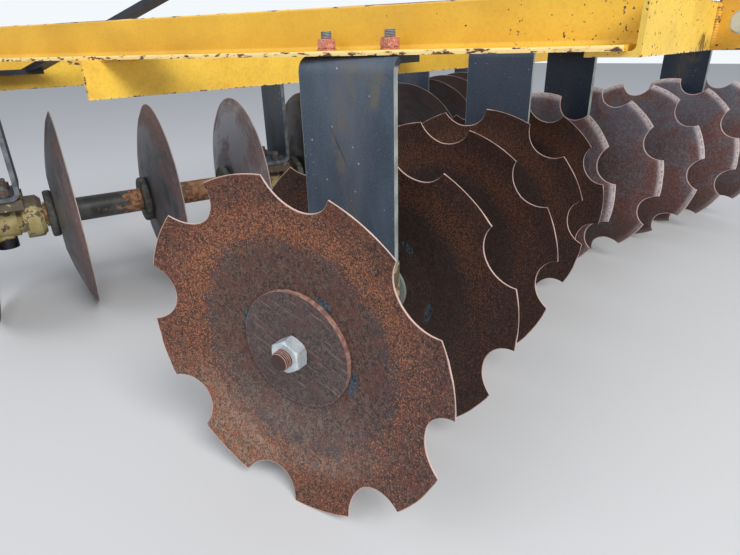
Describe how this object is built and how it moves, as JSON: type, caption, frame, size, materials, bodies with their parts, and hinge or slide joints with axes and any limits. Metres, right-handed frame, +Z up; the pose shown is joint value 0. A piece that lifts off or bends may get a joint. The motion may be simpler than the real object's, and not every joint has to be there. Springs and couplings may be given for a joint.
{
  "type": "disc harrow",
  "caption": "Three-point tandem disc harrow: notched front gangs and smooth rear gangs of dished blades turn in bearings under an angle-iron frame.",
  "frame": {"origin": "on the ground, under the middle of the machine's box", "axes": "+X to the machine's right, +Y in the direction of travel, +Z up"},
  "size_m": [2.379, 1.6804, 1.291],
  "materials": {
    "yellow_paint": "worn warm yellow paint with chips down to dark steel",
    "charcoal_paint": "scuffed charcoal paint with brown dust and bright worn edges",
    "black_bar": "glossy black paint",
    "bearing_casting": "ochre overspray on rusty casting",
    "rusty_blade": "rust brown, speckled orange towards the rim, bright ground edge",
    "worn_blade": "soil-polished grey steel with red-brown rust",
    "rusty_spool": "black paint worn to orange-tan rust",
    "rusty_washer": "smooth brown rust",
    "rusty_bolt": "dark rusty thread",
    "zinc_nut": "galvanised grey",
    "bare_steel": "worn bright steel"
  },
  "bodies": {
    "root": {"front_cross": "yellow_paint", "mid_cross": "yellow_paint", "rear_cross": "yellow_paint", "side_rail_right": "yellow_paint", "side_rail_left": "yellow_paint", "inner_rail_right": "yellow_paint", "inner_rail_left": "yellow_paint", "hitch_plate_right": "yellow_paint", "hitch_plate_left": "yellow_paint", "hitch_pin_right": "bare_steel", "hitch_pin_left": "bare_steel", "mast_bar_right": "black_bar", "mast_bar_left": "black_bar", "brace_right": "black_bar", "brace_left": "black_bar", "top_bolt": "bare_steel", "standards_front_right": "charcoal_paint", "standards_front_left": "charcoal_paint", "standards_rear_right": "charcoal_paint", "standards_rear_left": "charcoal_paint", "bearings_front_right": "bearing_casting", "bearings_front_left": "bearing_casting", "bearings_rear_right": "bearing_casting", "bearings_rear_left": "bearing_casting"},
    "gang_front_right": {"blades_front_right": "rusty_blade", "spools_front_right": "rusty_spool", "gang_bolt_front_right": "rusty_bolt", "end_washers_front_right": "rusty_washer", "gang_nut_front_right": "zinc_nut"},
    "gang_front_left": {"blades_front_left": "rusty_blade", "spools_front_left": "rusty_spool", "gang_bolt_front_left": "rusty_bolt", "end_washers_front_left": "rusty_washer", "gang_nut_front_left": "zinc_nut"},
    "gang_rear_right": {"blades_rear_right": "worn_blade", "spools_rear_right": "rusty_spool", "gang_bolt_rear_right": "rusty_bolt", "end_washers_rear_right": "rusty_washer", "gang_nut_rear_right": "zinc_nut"},
    "gang_rear_left": {"blades_rear_left": "worn_blade", "spools_rear_left": "rusty_spool", "gang_bolt_rear_left": "rusty_bolt", "end_washers_rear_left": "rusty_washer", "gang_nut_rear_left": "zinc_nut"}
  },
  "joints": [
    {"name": "front_right_gang_spin", "type": "hinge", "parent": "root", "child": "gang_front_right", "pos_m": [0.99096, 0.45791, 0.25], "axis": [0.9789, 0.2045, 0], "continuous": true},
    {"name": "rear_right_gang_spin", "type": "hinge", "parent": "root", "child": "gang_rear_right", "pos_m": [1.11699, -0.59809, 0.25], "axis": [0.9673, -0.2538, 0], "continuous": true},
    {"name": "front_left_gang_spin", "type": "hinge", "parent": "root", "child": "gang_front_left", "pos_m": [-0.99096, 0.45791, 0.25], "axis": [-0.9789, 0.2045, 0], "continuous": true},
    {"name": "rear_left_gang_spin", "type": "hinge", "parent": "root", "child": "gang_rear_left", "pos_m": [-1.11699, -0.59809, 0.25], "axis": [-0.9673, -0.2538, 0], "continuous": true}
  ]
}
